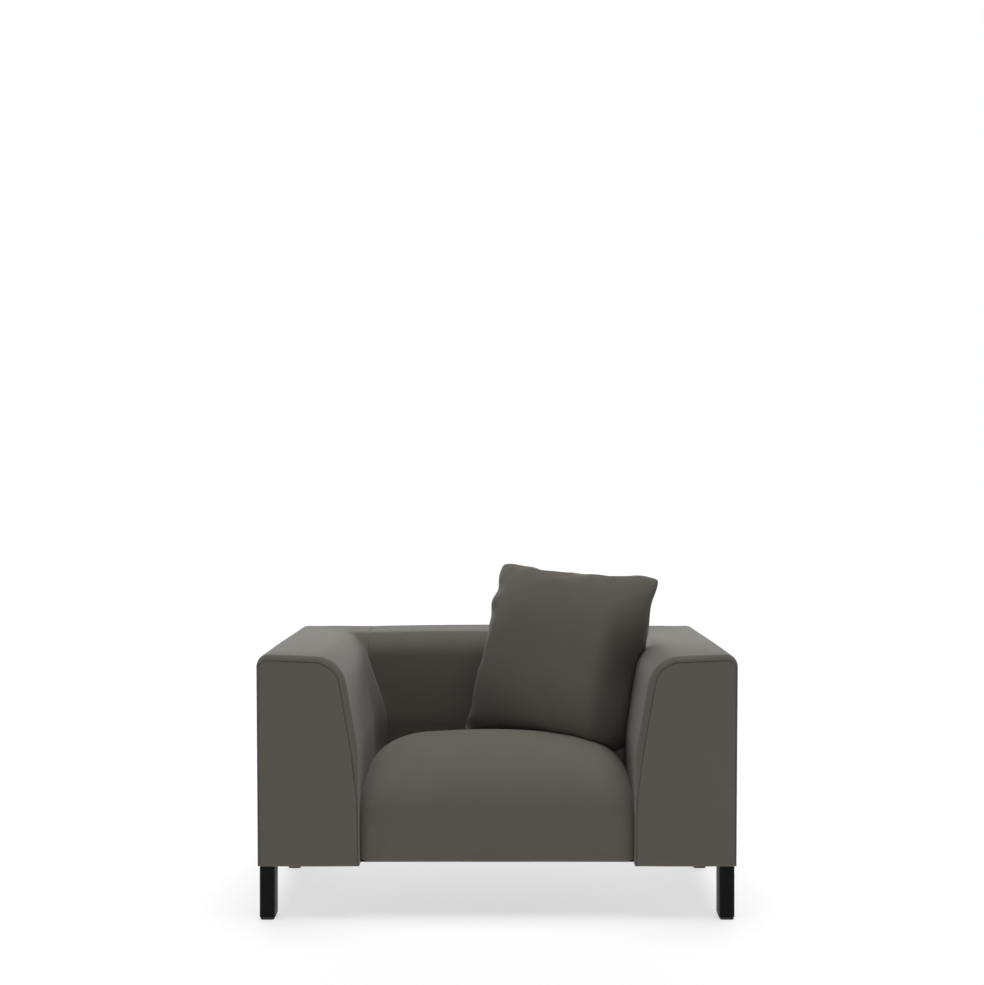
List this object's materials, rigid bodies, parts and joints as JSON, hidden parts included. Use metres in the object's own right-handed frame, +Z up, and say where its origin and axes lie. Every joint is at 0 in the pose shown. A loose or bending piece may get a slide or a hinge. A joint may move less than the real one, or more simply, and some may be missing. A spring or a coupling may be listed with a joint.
{
  "type": "upholstered armchair",
  "caption": "Low square-set upholstered armchair with padded arms and back of equal height, a rounded fixed seat, black post legs and a loose square throw cushion.",
  "frame": {"origin": "centre of the body's plan, on the floor under the legs", "axes": "+X to the right of a viewer who faces the chair's front, +Y towards the chair's back, +Z up; the chair faces -Y"},
  "size_m": [1.1546, 0.8, 0.8274],
  "materials": {
    "upholstery": "matte",
    "cushion_fabric": "matte",
    "cushion_fill": "matte",
    "foam": "matte",
    "wadding": "matte",
    "felt": "matte",
    "webbing": "matte",
    "dust_cloth": "matte",
    "timber": "matte",
    "plywood": "matte",
    "leg_metal": "satin",
    "spring_steel": "satin",
    "zinc_steel": "satin",
    "glide_plastic": "matte"
  },
  "bodies": {
    "chair": {"front_rail": "timber", "rear_seat_rail": "timber", "back_bottom_rail": "timber", "back_top_rail": "timber", "back_ribs": "plywood", "corner_blocks": "timber", "leg_blocks": "timber", "side_rail_left": "timber", "side_rail_right": "timber", "inner_rail_left": "timber", "inner_rail_right": "timber", "arm_top_rail_left": "timber", "arm_top_rail_right": "timber", "arm_front_board_left": "plywood", "arm_front_board_right": "plywood", "arm_rear_board_left": "plywood", "arm_rear_board_right": "plywood", "seat_springs": "spring_steel", "spring_clips": "zinc_steel", "spring_pad": "felt", "back_webbing": "webbing", "seat_foam": "foam", "back_foam": "foam", "arm_foam_left": "foam", "arm_foam_right": "foam", "arm_front_pad_left": "wadding", "arm_front_pad_right": "wadding", "seat_cover": "upholstery", "back_cover": "upholstery", "back_outer_panel": "upholstery", "arm_cover_left": "upholstery", "arm_cover_right": "upholstery", "arm_front_panel_left": "upholstery", "arm_front_panel_right": "upholstery", "arm_rear_panel_left": "upholstery", "arm_rear_panel_right": "upholstery", "dust_cover": "dust_cloth", "leg_front_left": "leg_metal", "leg_front_right": "leg_metal", "leg_rear_left": "leg_metal", "leg_rear_right": "leg_metal", "leg_plates": "zinc_steel", "leg_bolts": "zinc_steel", "leg_screws": "zinc_steel", "leg_glides": "glide_plastic"},
    "throw_cushion": {"cushion_cover": "cushion_fabric", "cushion_filling": "cushion_fill"}
  },
  "joints": [
    {"name": "cushion_lift", "type": "slide", "parent": "chair", "child": "throw_cushion", "axis": [0, 0, 1], "range_m": [0, 0.45]}
  ]
}
